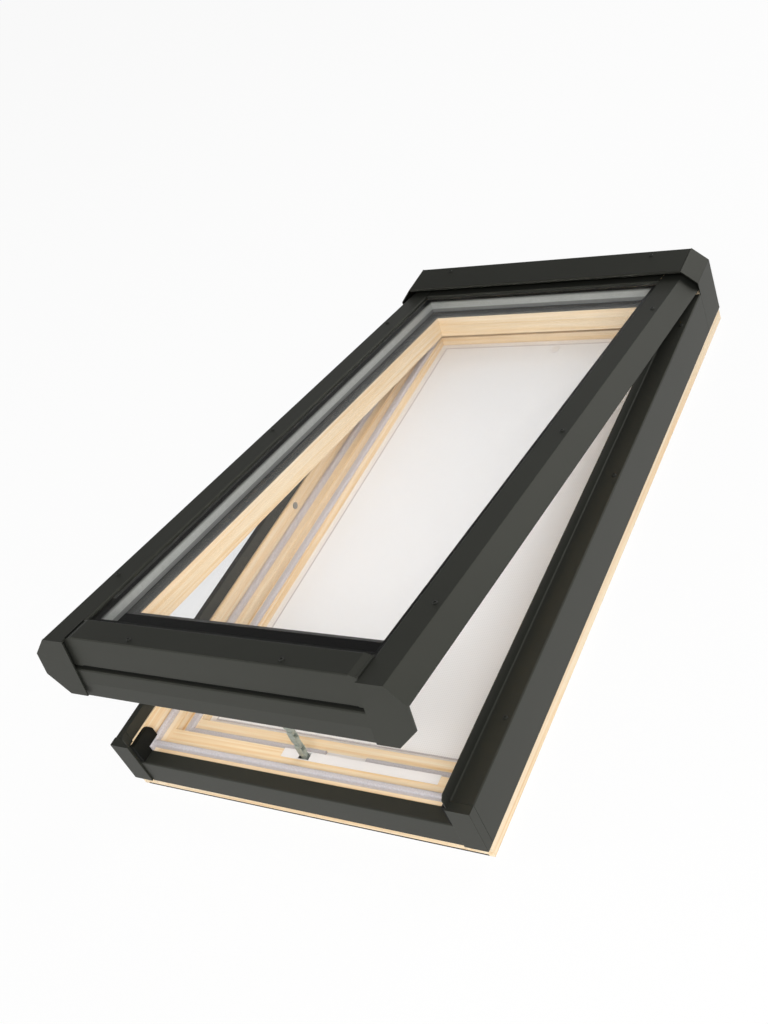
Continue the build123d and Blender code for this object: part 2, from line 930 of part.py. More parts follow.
# Sash cladding
def sash_side_cladding(side):
    fold = Side.LEFT if side > 0 else Side.RIGHT
    with BuildPart() as cladding:
        with BuildSketch(across(sash_base, cap_plate)):
            folded_sheet(
                fold,
                (side * chamfer_outer, -chamfer_drop),
                (side * flat_outer, 0),
                (side * flat_inner, 0),
                (side * flat_inner, -glass_drop),
            )
        extrude(amount=-(sash_clad_end - cap_plate))
        with BuildSketch(across(sash_base, 0)):
            outline(
                (side * (flat_inner - overrun), -sheet),
                (side * (flat_inner + bend), -sheet),
                (side * (flat_inner + bend), -glass_drop - overrun),
                (side * (flat_inner - overrun), -glass_drop - overrun),
            )
        extrude(amount=-panel_depth, mode=Mode.SUBTRACT)
        with BuildSketch(across(sash_base, top_clad_front)):
            outline(
                (side * (flat_inner - overrun), -sheet),
                (side * (flat_inner + bend), -sheet),
                (side * (flat_inner + bend), -glass_drop - overrun),
                (side * (flat_inner - overrun), -glass_drop - overrun),
            )
        extrude(amount=-sash_clad_end, mode=Mode.SUBTRACT)
    return cladding.part


def sash_corner_cap(side):
    with BuildPart() as cap:
        with BuildSketch(across(sash_base, 0)):
            outline(
                (side * flat_inner, 0),
                (side * flat_outer, 0),
                (side * chamfer_outer, -chamfer_drop),
                (side * chamfer_outer, -cap_side_drop),
                (side * cap_low_half, -cap_drop),
                (side * flat_inner, -cap_drop),
            )
        extrude(amount=-cap_plate)
        fillet(cap.faces().sort_by(Axis.Y)[0].edges(), cap_edge)
    return cap.part


clad_span = flat_inner - panel_end_gap
with BuildPart() as sash_top_cladding:
    with BuildSketch(lengthwise(sash_base, -clad_span)):
        folded_sheet(
            Side.RIGHT,
            (top_clad_front, -glass_drop),
            (top_clad_front, 0),
            (sash_clad_end, 0),
        )
    extrude(amount=clad_span * 2)

# The panel stands a little proud, with sloping ends and wings behind the corner caps
top_half = clad_span - panel_bevel
wing_half = flat_inner + wing_reach
bevel_edge = sheet + touch - sash_clad_gap
with BuildPart() as sash_front_panel:
    with BuildSketch(lengthwise(sash_base, -top_half)):
        folded_sheet(
            Side.RIGHT,
            (panel_setback + panel_return, -panel_drop),
            (panel_setback, -panel_drop),
            (panel_setback, panel_rise),
            (panel_depth, panel_rise),
            (panel_depth, -glass_drop),
        )
    extrude(amount=top_half * 2)
    for word, side in sides:
        with BuildSketch(across(sash_base, panel_setback)):
            outline(
                (side * top_half, panel_rise),
                (side * clad_span, bevel_edge),
                (side * clad_span, bevel_edge - sheet),
                (side * top_half, panel_rise - sheet),
            )
        extrude(amount=-(panel_depth - panel_setback))
        with BuildSketch(across(sash_base, panel_setback)):
            outline(
                (side * top_half, panel_rise),
                (side * clad_span, bevel_edge),
                (side * clad_span, -wing_drop),
                (side * wing_half, -wing_drop),
                (side * wing_half, -panel_drop),
                (side * top_half, -panel_drop),
            )
        extrude(amount=-sheet)
        with BuildSketch(across(sash_base, panel_depth - sheet)):
            outline(
                (side * top_half, panel_rise),
                (side * clad_span, bevel_edge),
                (side * clad_span, -glass_drop),
                (side * top_half, -glass_drop),
            )
        extrude(amount=-sheet)

with BuildPart() as sash_apron:
    with BuildSketch(lengthwise(sash_base, -wing_half)):
        folded_sheet(
            Side.RIGHT,
            (apron_setback + apron_lean + panel_return, -apron_drop),
            (apron_setback + apron_lean, -apron_drop),
            (apron_setback, -apron_crease_drop),
            (apron_setback, -apron_top),
            (sash_front, -apron_top),
        )
    extrude(amount=wing_half * 2)

for word, side in sides:
    save(sash_side_cladding(side), f"sash_{word}_cladding")
    save(sash_corner_cap(side), f"sash_{word}_corner_cap")
save(sash_top_cladding.part, "sash_top_cladding")
save(sash_front_panel.part, "sash_front_panel")
save(sash_apron.part, "sash_apron")

# Glazing unit
pane_x = sash_rebate_wall - pane_edge_gap
pane_front = bottom_rebate_wall + pane_front_gap
pane_back = top_rebate_wall - pane_edge_gap


def pane_sketch():
    with Locations((0, (pane_front + pane_back) / 2)):
        Rectangle(pane_x * 2, pane_back - pane_front)


with BuildPart() as outer_pane:
    with BuildSketch(flat(sash_base, -glass_drop - pane_thickness)):
        pane_sketch()
    extrude(amount=pane_thickness)

with BuildPart() as inner_pane:
    with BuildSketch(flat(sash_base, -glass_floor)):
        pane_sketch()
    extrude(amount=pane_thickness)

with BuildPart() as glass_spacer:
    with BuildSketch(flat(sash_base, -pane_low)):
        ring(pane_x - spacer_inset, pane_front + spacer_inset, pane_back - spacer_inset, spacer_width)
    extrude(amount=spacer_height)

with BuildPart() as glass_edge_seal:
    with BuildSketch(flat(sash_base, -pane_low)):
        ring(pane_x, pane_front, pane_back, spacer_inset)
    extrude(amount=spacer_height)

with BuildPart() as glazing_bed:
    with BuildSketch(flat(sash_base, -sash_floor_drop)):
        with Locations((0, (pane_front + pane_back) / 2)):
            Rectangle(pane_x * 2, pane_back - pane_front)
        with Locations((0, (bottom_rail_inner + top_rail_inner) / 2)):
            Rectangle(sash_inner * 2, top_rail_inner - bottom_rail_inner, mode=Mode.SUBTRACT)
    extrude(amount=bed_thickness)

save(outer_pane.part, "outer_pane")
save(inner_pane.part, "inner_pane")
save(glass_spacer.part, "glass_spacer")
save(glass_edge_seal.part, "glass_edge_seal")
save(glazing_bed.part, "glazing_bed")

# Hinges under the hood
knuckle_length = hinge_width * knuckle_share


def hinge_plane(sideways):
    """Section plane across a hinge, with its origin on the hinge axis."""
    place = frame_base.from_local_coords((sideways, hinge_from_front, hinge_height))
    return Plane(place, x_dir=(0, 1, 0), z_dir=(1, 0, 0))


def hinge_frame_leaf(side):
    start = side * hinge_offset - hinge_width / 2
    foot = frame_length - rebate_inset + frame_leaf_setback - hinge_from_front
    seat = wood_top - hinge_height
    with BuildPart() as leaf:
        for knuckle_start in (start, start + hinge_width - knuckle_length):
            with BuildSketch(hinge_plane(knuckle_start)):
                Circle(knuckle_radius)
                outline(
                    (0, knuckle_radius),
                    (foot + leaf_thickness, seat + leaf_thickness),
                    (foot, seat),
                    (0, -knuckle_radius + leaf_thickness),
                )
            extrude(amount=knuckle_length)
        with BuildSketch(hinge_plane(start)):
            outline(
                (foot, seat),
                (foot + frame_leaf_length, seat),
                (foot + frame_leaf_length, seat + leaf_thickness),
                (foot, seat + leaf_thickness),
            )
        extrude(amount=hinge_width)
        with BuildSketch(hinge_plane(start)):
            Circle(pin_radius + pin_clearance)
        extrude(amount=hinge_width, mode=Mode.SUBTRACT)
    return leaf.part


def hinge_sash_leaf(side):
    start = side * hinge_offset - hinge_width / 2
    middle = side * hinge_offset - knuckle_length / 2 + knuckle_gap
    with BuildPart() as leaf:
        with BuildSketch(lengthwise(sash_base, middle)):
            with Locations((hinge_along, -hinge_drop)):
                Circle(knuckle_radius)
            outline(
                (sash_back, -hinge_drop - leaf_thickness),
                (hinge_along, -hinge_drop - leaf_thickness),
                (hinge_along, -hinge_drop + leaf_thickness),
                (sash_back, -hinge_drop + leaf_thickness),
            )
        extrude(amount=knuckle_length - knuckle_gap * 2)
        with BuildSketch(lengthwise(sash_base, start)):
            outline(
                (sash_back, -sash_leaf_drop),
                (sash_back, -hinge_drop + leaf_thickness),
                (sash_back + leaf_thickness, -hinge_drop + leaf_thickness),
                (sash_back + leaf_thickness, -sash_leaf_drop),
            )
        extrude(amount=hinge_width)
        with BuildSketch(lengthwise(sash_base, start)):
            with Locations((hinge_along, -hinge_drop)):
                Circle(pin_radius + pin_clearance)
        extrude(amount=hinge_width, mode=Mode.SUBTRACT)
    return leaf.part


def hinge_pin(side):
    with BuildPart() as pin:
        with BuildSketch(hinge_plane(side * hinge_offset - hinge_width / 2)):
            Circle(pin_radius)
        extrude(amount=hinge_width)
    return pin.part


for word, side in sides:
    save(hinge_frame_leaf(side), f"{word}_hinge_frame_leaf")
    save(hinge_sash_leaf(side), f"{word}_hinge_sash_leaf")
    save(hinge_pin(side), f"{word}_hinge_pin")

# Bracket that takes the end of the chain
with BuildPart() as chain_bracket:
    with BuildSketch(flat(sash_base, -step_drop)):
        with Locations((0, bracket_from_front)):
            Rectangle(bracket_half * 2, bracket_length)
    extrude(amount=bracket_plate)
    ear_start = head_width / 2 + touch
    for ear_sign in (-1, 1):
        with BuildSketch(lengthwise(sash_base, ear_sign * ear_start)):
            with Locations((bracket_from_front, -bracket_pin_drop)):
                Circle(ear_half_depth)
            with Locations((bracket_from_front, -(bracket_pin_drop + step_drop) / 2)):
                Rectangle(ear_half_depth * 2, bracket_pin_drop - step_drop)
        extrude(amount=ear_sign * ear_thickness)
    with BuildSketch(lengthwise(sash_base, -ear_start)):
        with Locations((bracket_from_front, -bracket_pin_drop)):
            Circle(bracket_pin_radius)
    extrude(amount=ear_start * 2)

save(chain_bracket.part, "chain_bracket")


# Screws
def screw_heads(*groups):
    """Tapered screw heads as one group, each set of places with the plane it stands on."""
    with BuildPart() as heads:
        for plane, places in groups:
            with BuildSketch(plane):
                with Locations(*places):
                    Circle(screw_radius)
            extrude(amount=screw_head, taper=screw_taper)
    return heads.part


hood_places = [(side * (half - hood_screw_inset), frame_length - hood_screw_back) for word, side in sides]
ledge_places = [
    (side * (half - ledge_screw_inset), frame_length * share)
    for word, side in sides
    for share in ledge_screw_shares
]
panel_places = [(side * (flat_inner - panel_screw_inset), panel_screw_depth) for word, side in sides]
rail_places = [
    (side * (flat_outer - rail_screw_inset), sash_clad_end * share)
    for word, side in sides
    for share in rail_screw_shares
]
panel_heads = (flat(sash_base, panel_rise), panel_places)
rail_heads = (flat(sash_base, 0), rail_places)
save(screw_heads((flat(frame_base, hood_height), hood_places)), "hood_screws")
save(screw_heads((flat(frame_base, ledge_height), ledge_places)), "frame_cladding_screws")
save(screw_heads(panel_heads, rail_heads), "sash_screws")

with BuildPart() as stile_screw_cap:
    cap_height = (first_step_height + outer_seal_height + wood_top) / 2
    with BuildSketch(lengthwise(frame_base, -rebate_x)):
        with Locations((frame_length * stile_cap_share, cap_height)):
            Circle(cap_screw_radius)
    extrude(amount=cap_screw_height)
save(stile_screw_cap.part, "stile_screw_cap")
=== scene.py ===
# %% [markdown]
# # A venting roof window
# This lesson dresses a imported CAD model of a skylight: a pine frame under folded aluminium cladding, a sash that
# stands open on a chain drive, and a sealed glazing unit. The CAD solids already have the right shapes and places,
# so the frame is loaded first, and everything that follows is finish, small detail, light and camera.

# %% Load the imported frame
import bmesh
import bpy
import json
import math
from mathutils import Euler, Matrix, Vector


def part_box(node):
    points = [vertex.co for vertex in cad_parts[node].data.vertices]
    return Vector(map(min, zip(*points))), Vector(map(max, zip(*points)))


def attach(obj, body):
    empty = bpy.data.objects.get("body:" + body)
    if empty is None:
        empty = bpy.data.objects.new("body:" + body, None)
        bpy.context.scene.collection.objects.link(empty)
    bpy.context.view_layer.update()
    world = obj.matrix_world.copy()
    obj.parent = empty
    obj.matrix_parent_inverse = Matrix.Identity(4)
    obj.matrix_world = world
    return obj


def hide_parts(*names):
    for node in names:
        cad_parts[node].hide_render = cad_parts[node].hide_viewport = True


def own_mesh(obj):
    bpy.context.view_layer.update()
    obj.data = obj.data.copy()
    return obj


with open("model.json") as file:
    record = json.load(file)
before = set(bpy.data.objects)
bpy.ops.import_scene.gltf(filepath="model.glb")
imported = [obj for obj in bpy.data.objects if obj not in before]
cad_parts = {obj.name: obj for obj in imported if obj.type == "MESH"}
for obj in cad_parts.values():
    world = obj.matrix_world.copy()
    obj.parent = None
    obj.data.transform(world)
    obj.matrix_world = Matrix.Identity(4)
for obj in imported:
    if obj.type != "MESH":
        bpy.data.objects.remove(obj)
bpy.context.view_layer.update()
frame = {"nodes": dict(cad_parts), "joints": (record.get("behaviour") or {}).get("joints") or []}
nodes = frame["nodes"]
MM = 0.001

# %% [markdown]
# ## Working places
# The sash leans on its hinges, so its pieces are placed in the sash's own directions: across, up the slope and out
# of the glass. Its front upper edge lies a known way down the slope from the hinge axis, and the frame's front face
# is where its corner caps begin. From these two places every screw can be set by the sizes in the part's source.

# %% Directions of the sash and the frame's front
VENT_ANGLE = math.radians(10.5)
HINGE_ALONG = 1167 * MM
HINGE_DROP = 16 * MM

hinge = Vector(frame["joints"][0]["pos_m"])
up_slope = Vector((0, math.cos(VENT_ANGLE), -math.sin(VENT_ANGLE)))
out_of_glass = Vector((0, math.sin(VENT_ANGLE), math.cos(VENT_ANGLE)))
sash_front = hinge + out_of_glass * HINGE_DROP - up_slope * HINGE_ALONG
sash_place = Matrix.Translation(sash_front) @ Matrix.Rotation(-VENT_ANGLE, 4, "X")
frame_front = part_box("frame_left_corner_cap")[0].y
print("sash front edge in mm:", [round(v / MM, 1) for v in sash_front])
print("frame front in mm:", round(frame_front / MM, 1))

# %% [markdown]
# ## Colours and nodes
# Colours are listed as sRGB hex values, as a paint chart gives them. Shaders work with linear light, so one
# function turns the hex value to linear. A second small function adds any node with its settings, the links into it,
# the stops of its colour ramp if it has one, and the sockets that it feeds. This keeps each material short enough to
# read as a recipe.


# %% Helpers for materials
def linear(hex_value):
    channels = [int(hex_value[i : i + 2], 16) / 255 for i in (1, 3, 5)]
    return [c / 12.92 if c <= 0.04045 else ((c + 0.055) / 1.055) ** 2.4 for c in channels] + [1.0]


def add(tree, kind, settings=None, inputs=None, stops=None, feeds=None):
    node = tree.nodes.new(kind)
    for name, value in (settings or {}).items():
        setattr(node, name, value)
    for socket, value in (inputs or {}).items():
        if isinstance(value, bpy.types.NodeSocket):
            tree.links.new(value, node.inputs[socket])
        else:
            node.inputs[socket].default_value = value
    if stops:
        elements = node.color_ramp.elements
        while len(elements) < len(stops):
            elements.new(0.5)
        for element, (position, hex_value) in zip(elements, stops.items()):
            element.position = position
            element.color = linear(hex_value)
    for socket, target in (feeds or {}).items():
        tree.links.new(node.outputs[socket], target)
    return node


def start_material(name, **constants):
    material = bpy.data.materials.new(name)
    material.use_nodes = True
    tree = material.node_tree
    shader = tree.nodes["Principled BSDF"]
    for socket, value in constants.items():
        shader.inputs[socket.replace("_", " ")].default_value = value
    return material, tree, shader


print("helpers for materials ready")

# %% [markdown]
# ## Powder-coated aluminium
# The cladding is folded aluminium sheet under a matte umbra-grey powder coat. Powder melts into a fine orange-peel
# skin about a millimetre across, with tiny specks in it, so the gloss is broken and the colour varies a little. It
# is a plastic skin over metal: metallic stays at zero.

# %% Cladding material
COAT_GRAIN = 1.1 * MM
COAT_CLOUD = 160 * MM
COAT_PEEL = 0.06 * MM


def powder_coat():
    material, tree, shader = start_material(
        "powder_coated_aluminium", Metallic=0.0, IOR=1.5, Specular_Tint=linear("#FFFFEE")
    )
    place = add(tree, "ShaderNodeTexCoord").outputs["Object"]
    grain = add(
        tree,
        "ShaderNodeTexNoise",
        inputs={"Vector": place, "Scale": 1 / COAT_GRAIN, "Detail": 3.0, "Roughness": 0.55},
    ).outputs["Fac"]
    cloud = add(
        tree,
        "ShaderNodeTexNoise",
        inputs={"Vector": place, "Scale": 1 / COAT_CLOUD, "Detail": 4.0, "Roughness": 0.6},
    ).outputs["Fac"]
    specks = add(
        tree,
        "ShaderNodeValToRGB",
        inputs={"Fac": grain},
        stops={0.3: "#20211D", 0.55: "#262723", 0.75: "#2D2E29"},
    )
    tone = add(tree, "ShaderNodeValToRGB", inputs={"Fac": cloud}, stops={0.3: "#222320", 0.7: "#282925"})
    add(
        tree,
        "ShaderNodeMix",
        {"data_type": "RGBA", "blend_type": "MIX"},
        {"Factor": 0.5, 6: specks.outputs["Color"], 7: tone.outputs["Color"]},
        feeds={2: shader.inputs["Base Color"]},
    )
    add(
        tree,
        "ShaderNodeMapRange",
        inputs={"Value": grain, "To Min": 0.46, "To Max": 0.62},
        feeds={"Result": shader.inputs["Roughness"]},
    )
    add(
        tree,
        "ShaderNodeBump",
        inputs={"Height": grain, "Distance": COAT_PEEL, "Strength": 0.35},
        feeds={"Normal": shader.inputs["Normal"]},
    )
    return material


coat = powder_coat()
print("made", coat.name)

# %% [markdown]
# ## Lacquered pine
# The wood is pine strip, planed and lacquered clear. Growth rings run along each strip as soft lines a few
# millimetres apart, straw-coloured with honey lines of late wood, so the pattern is stretched along the strip. The
# stiles run up the slope and the rails run across, and the sash leans while the frame lies flat. So the same recipe
# is made four times, with the stretch turned and leaned to suit.

# %% Pine material
RING_GAP = 5.5 * MM
STRIP_LENGTH = 420 * MM
PORE_GAP = 0.8 * MM
PORE_DEPTH = 0.08 * MM


def lacquered_pine(name, along_x, lean=0.0):
    material, tree, shader = start_material(
        name, Metallic=0.0, IOR=1.5, Specular_IOR_Level=0.4, Coat_Weight=0.12, Coat_Roughness=0.25
    )
    place = add(tree, "ShaderNodeTexCoord").outputs["Object"]
    long, short = 1 / STRIP_LENGTH, 1 / RING_GAP
    stretch = (long, short, short) if along_x else (short, long, short)
    fine = tuple(s * RING_GAP / PORE_GAP for s in stretch)
    turned = add(tree, "ShaderNodeMapping", inputs={"Vector": place, "Rotation": (lean, 0.0, 0.0)})
    leaned = turned.outputs["Vector"]
    rings_place = add(tree, "ShaderNodeMapping", inputs={"Vector": leaned, "Scale": stretch})
    pores_place = add(tree, "ShaderNodeMapping", inputs={"Vector": leaned, "Scale": fine})
    rings = add(
        tree,
        "ShaderNodeTexNoise",
        inputs={"Vector": rings_place.outputs["Vector"], "Scale": 1.0, "Detail": 3.0, "Distortion": 0.4},
    ).outputs["Fac"]
    pores = add(
        tree,
        "ShaderNodeTexNoise",
        inputs={"Vector": pores_place.outputs["Vector"], "Scale": 1.0, "Detail": 2.0},
    ).outputs["Fac"]
    straw = add(
        tree,
        "ShaderNodeValToRGB",
        inputs={"Fac": rings},
        stops={0.30: "#F8E8CE", 0.50: "#F5DFBD", 0.62: "#F1D4AA", 0.74: "#E9C594"},
    )
    shade = add(tree, "ShaderNodeValToRGB", inputs={"Fac": pores}, stops={0.35: "#F6EAD4", 0.65: "#FFFFFF"})
    add(
        tree,
        "ShaderNodeMix",
        {"data_type": "RGBA", "blend_type": "MULTIPLY"},
        {"Factor": 0.45, 6: straw.outputs["Color"], 7: shade.outputs["Color"]},
        feeds={2: shader.inputs["Base Color"]},
    )
    add(
        tree,
        "ShaderNodeMapRange",
        inputs={"Value": rings, "To Min": 0.48, "To Max": 0.34},
        feeds={"Result": shader.inputs["Roughness"]},
    )
    add(
        tree,
        "ShaderNodeBump",
        inputs={"Height": pores, "Distance": PORE_DEPTH, "Strength": 0.25},
        feeds={"Normal": shader.inputs["Normal"]},
    )
    return material


pine_across = lacquered_pine("lacquered_pine_across", True)
pine_up = lacquered_pine("lacquered_pine_up_slope", False)
pine_lean_across = lacquered_pine("lacquered_pine_sash_across", True, VENT_ANGLE)
pine_lean_up = lacquered_pine("lacquered_pine_sash_up_slope", False, VENT_ANGLE)
print("made four pine materials")

# %% [markdown]
# ## Rubber and plastic
# The seals are extruded grey foam rubber with a dusty skin, and the corner blocks are black rubber. All are matte,
# with a soft mottle about two millimetres across. The drive cover and the screen frame are satin moulded or coated
# white, a slightly glossier skin with a finer grain. The recipe is the same, so one function takes the colours, the
# roughness and the skin.

# %% Rubber and plastic materials
RUBBER_SKIN = {"size": 2.0 * MM, "depth": 0.1 * MM, "strength": 0.3}
SEALANT_SKIN = {"size": 2.0 * MM, "depth": 0.05 * MM, "strength": 0.2}
PLASTIC_SKIN = {"size": 0.6 * MM, "depth": 0.03 * MM, "strength": 0.2}


def mottled(name, dark, light, roughness, skin, gloss=0.5):
    material, tree, shader = start_material(name, Metallic=0.0, IOR=1.5, Specular_IOR_Level=gloss)
    place = add(tree, "ShaderNodeTexCoord").outputs["Object"]
    mottle = add(
        tree,
        "ShaderNodeTexNoise",
        inputs={"Vector": place, "Scale": 1 / skin["size"], "Detail": 4.0, "Roughness": 0.6},
    ).outputs["Fac"]
    add(
        tree,
        "ShaderNodeValToRGB",
        inputs={"Fac": mottle},
        stops={0.35: dark, 0.65: light},
        feeds={"Color": shader.inputs["Base Color"]},
    )
    add(
        tree,
        "ShaderNodeMapRange",
        inputs={"Value": mottle, "To Min": roughness[0], "To Max": roughness[1]},
        feeds={"Result": shader.inputs["Roughness"]},
    )
    add(
        tree,
        "ShaderNodeBump",
        inputs={"Height": mottle, "Distance": skin["depth"], "Strength": skin["strength"]},
        feeds={"Normal": shader.inputs["Normal"]},
    )
    return material


grey_rubber = mottled("grey_foam_rubber", "#BDB8BB", "#CFCBCE", (0.6, 0.8), RUBBER_SKIN)
# black rubber for seals and corner blocks; it also paints shade on the joint lips and in the apron gap
black_rubber = mottled("black_rubber", "#121311", "#1B1C19", (0.6, 0.8), RUBBER_SKIN, gloss=0.15)
# near black and glossless: sealant, and painted shade of the groove behind the front panel
black_sealant_and_painted_shade = mottled("black_butyl_sealant_and_painted_shade", "#040404", "#070706", (0.8, 0.95), SEALANT_SKIN, gloss=0.0)
white_plastic = mottled("satin_white_plastic", "#EAE6E5", "#F3F1EF", (0.38, 0.5), PLASTIC_SKIN)
grey_plastic = mottled("satin_grey_plastic", "#8B8B88", "#979794", (0.4, 0.5), PLASTIC_SKIN)
print("made rubber and plastic")

# %% [markdown]
# ## Glazing rubber
# The glass beds on dark grey rubber. Along the front the bed is painted black, as sealant and as painted shade of
# the groove behind the front panel. The bed is one CAD node, so how far up the slope a point lies decides whether it
# is black or grey.

# %% Glazing bed material
SEALANT_AND_SHADE_TO = 113.0 * MM


def glazing_rubber():
    material = mottled("dark_grey_glazing_rubber", "#3C3C3A", "#474745", (0.5, 0.65), RUBBER_SKIN)
    tree = material.node_tree
    base = tree.nodes["Principled BSDF"].inputs["Base Color"]
    grey = base.links[0].from_socket
    place = add(tree, "ShaderNodeTexCoord").outputs["Object"]
    along = add(
        tree, "ShaderNodeVectorMath", {"operation": "DOT_PRODUCT"}, {0: place, 1: tuple(up_slope)}
    )
    edge = sash_front.dot(up_slope) + SEALANT_AND_SHADE_TO
    # black below this edge: sealant, and painted shade of the groove behind the front panel
    past = add(tree, "ShaderNodeMath", {"operation": "GREATER_THAN"}, {0: along.outputs["Value"], 1: edge})
    add(
        tree,
        "ShaderNodeMix",
        {"data_type": "RGBA", "blend_type": "MIX"},
        {"Factor": past.outputs["Value"], 6: linear("#0C0D0B"), 7: grey},
        feeds={2: base},
    )
    return material


bed_rubber = glazing_rubber()
print("made", bed_rubber.name)

# %% [markdown]
# ## Galvanised steel and screws
# The chain, its bracket and the hinges are zinc-plated steel: a dull silver-green metal with faint crystal patches
# some millimetres across. The chain's passivated zinc is duller and paler than the rest, so it is only partly
# metallic. The screws are steel under the cladding's dark coat.

# %% Metal materials
ZINC_PATCH = 6 * MM


def plated_steel(name, metallic, dark, light, roughness):
    material, tree, shader = start_material(name, Metallic=metallic)
    place = add(tree, "ShaderNodeTexCoord").outputs["Object"]
    patch = add(
        tree,
        "ShaderNodeTexVoronoi",
        inputs={"Vector": place, "Scale": 1 / ZINC_PATCH, "Randomness": 1.0},
    ).outputs["Distance"]
    add(
        tree,
        "ShaderNodeValToRGB",
        inputs={"Fac": patch},
        stops={0.1: dark, 0.6: light},
        feeds={"Color": shader.inputs["Base Color"]},
    )
    add(
        tree,
        "ShaderNodeMapRange",
        inputs={"Value": patch, "To Min": roughness[0], "To Max": roughness[1]},
        feeds={"Result": shader.inputs["Roughness"]},
    )
    return material


zinc = plated_steel("galvanised_steel", 1.0, "#8E968F", "#A9B0A9", (0.35, 0.5))
chain_zinc = plated_steel("matte_zinc_chain_steel", 0.55, "#A3ABA2", "#B7BEB5", (0.5, 0.6))
screw_steel = plated_steel("dark_coated_screw_steel", 0.0, "#20211E", "#2A2B27", (0.45, 0.55))
print("made metals")

# %% [markdown]
# ## Spacer bar
# The bar that holds the panes apart is satin grey aluminium. Black butyl seals it to the glass above and below, and
# the grey sealant behind shows as a darker band on its lower part. Below the upper butyl the bar fades to dark grey:
# that fade is painted shade cast by the butyl. All of these run round the bar at fixed heights, so the bar's height
# above the lower pane is measured from its mesh, and one colour ramp over it paints them.

# %% Spacer material
ROLL_MARK = 6 * MM

spacer_heights = [v.co.dot(out_of_glass) for v in nodes["glass_spacer"].data.vertices]
spacer_low, spacer_high = min(spacer_heights), max(spacer_heights)


def spacer_with_butyl_and_painted_shade():
    material, tree, shader = start_material("satin_spacer_aluminium", Metallic=0.4)
    place = add(tree, "ShaderNodeTexCoord").outputs["Object"]
    height = add(
        tree, "ShaderNodeVectorMath", {"operation": "DOT_PRODUCT"}, {0: place, 1: tuple(out_of_glass)}
    )
    share = add(
        tree,
        "ShaderNodeMapRange",
        inputs={"Value": height.outputs["Value"], "From Min": spacer_low, "From Max": spacer_high},
    )
    bands = add(
        tree,
        "ShaderNodeValToRGB",
        inputs={"Fac": share.outputs["Result"]},
        stops={
            0.03: "#10110F",
            0.05: "#6E6F6C",
            0.32: "#767774",
            0.36: "#ACAEAA",
            0.78: "#ACAEAA",
            # from the 0.78 stop up to the butyl: painted shade cast by the upper butyl
            0.95: "#4A4B48",
            0.98: "#10110F",
        },
    )
    rolled = add(
        tree,
        "ShaderNodeTexNoise",
        inputs={"Vector": place, "Scale": 1 / ROLL_MARK, "Detail": 3.0, "Roughness": 0.5},
    ).outputs["Fac"]
    satin = add(tree, "ShaderNodeValToRGB", inputs={"Fac": rolled}, stops={0.3: "#F2F2F1", 0.7: "#FFFFFF"})
    add(
        tree,
        "ShaderNodeMix",
        {"data_type": "RGBA", "blend_type": "MULTIPLY"},
        {"Factor": 1.0, 6: bands.outputs["Color"], 7: satin.outputs["Color"]},
        feeds={2: shader.inputs["Base Color"]},
    )
    add(
        tree,
        "ShaderNodeMapRange",
        inputs={"Value": rolled, "To Min": 0.48, "To Max": 0.6},
        feeds={"Result": shader.inputs["Roughness"]},
    )
    return material


spacer_metal = spacer_with_butyl_and_painted_shade()
print("made", spacer_metal.name, "height in mm:", round((spacer_high - spacer_low) / MM, 1))

# %% [markdown]
# ## Glass
# The unit has two clear float-glass panes. Clear glass shows itself only by what it mirrors, so the shader is a
# smooth transmission. Soda-lime glass has an index of 1.52, but coated panes mirror less, so the index is lowered
# until the panes mirror as little as the real ones. Light has to reach the wood behind, so shadow rays pass straight
# through.


# %% Glass material
def float_glass():
    material, tree, shader = start_material(
        "clear_float_glass", Base_Color=linear("#FFFFFF"), Roughness=0.0, IOR=1.3, Transmission_Weight=1.0
    )
    path = add(tree, "ShaderNodeLightPath")
    clear = add(tree, "ShaderNodeBsdfTransparent", inputs={"Color": linear("#FFFFFF")})
    add(
        tree,
        "ShaderNodeMixShader",
        inputs={0: path.outputs["Is Shadow Ray"], 1: shader.outputs["BSDF"], 2: clear.outputs["BSDF"]},
        feeds={"Shader": tree.nodes["Material Output"].inputs["Surface"]},
    )
    return material


glass = float_glass()
print("made", glass.name)

# %% [markdown]
# ## Insect screen cloth
# The screen is white fibreglass cloth, woven with about one thread per millimetre and a half. From a few metres it
# reads as an even white sheet, so the weave is drawn with two crossed waves that only just show. They are drawn
# twice as coarse as the real threads, because finer ones would not show at all.

# %% Screen material
THREAD_GAP = 1.6 * MM
DRAWN_COARSER = 2
WAVE_LENGTH = 0.314  # metres from wave to wave at a scale of 1
CLOTH_DEPTH = 0.15 * MM


def screen_cloth():
    material, tree, shader = start_material("woven_fibreglass_screen", Metallic=0.0, Roughness=0.7)
    place = add(tree, "ShaderNodeTexCoord").outputs["Object"]
    warp, weft = (
        add(
            tree,
            "ShaderNodeTexWave",
            {"wave_type": "BANDS", "bands_direction": way},
            {"Vector": place, "Scale": WAVE_LENGTH / THREAD_GAP / DRAWN_COARSER},
        ).outputs["Fac"]
        for way in "XY"
    )
    weave = add(tree, "ShaderNodeMath", {"operation": "MAXIMUM"}, {0: warp, 1: weft}).outputs["Value"]
    add(
        tree,
        "ShaderNodeValToRGB",
        inputs={"Fac": weave},
        stops={0.2: "#EEEEEF", 0.9: "#F8F8F9"},
        feeds={"Color": shader.inputs["Base Color"]},
    )
    add(
        tree,
        "ShaderNodeBump",
        inputs={"Height": weave, "Distance": CLOTH_DEPTH, "Strength": 0.4},
        feeds={"Normal": shader.inputs["Normal"]},
    )
    return material


cloth = screen_cloth()
print("made", cloth.name)

# %% [markdown]
# ## Dressing the nodes
# Each CAD node keeps its mesh and takes the finish of the real piece. A table of finishes with the nodes that wear
# them is easier to check than one line per node.

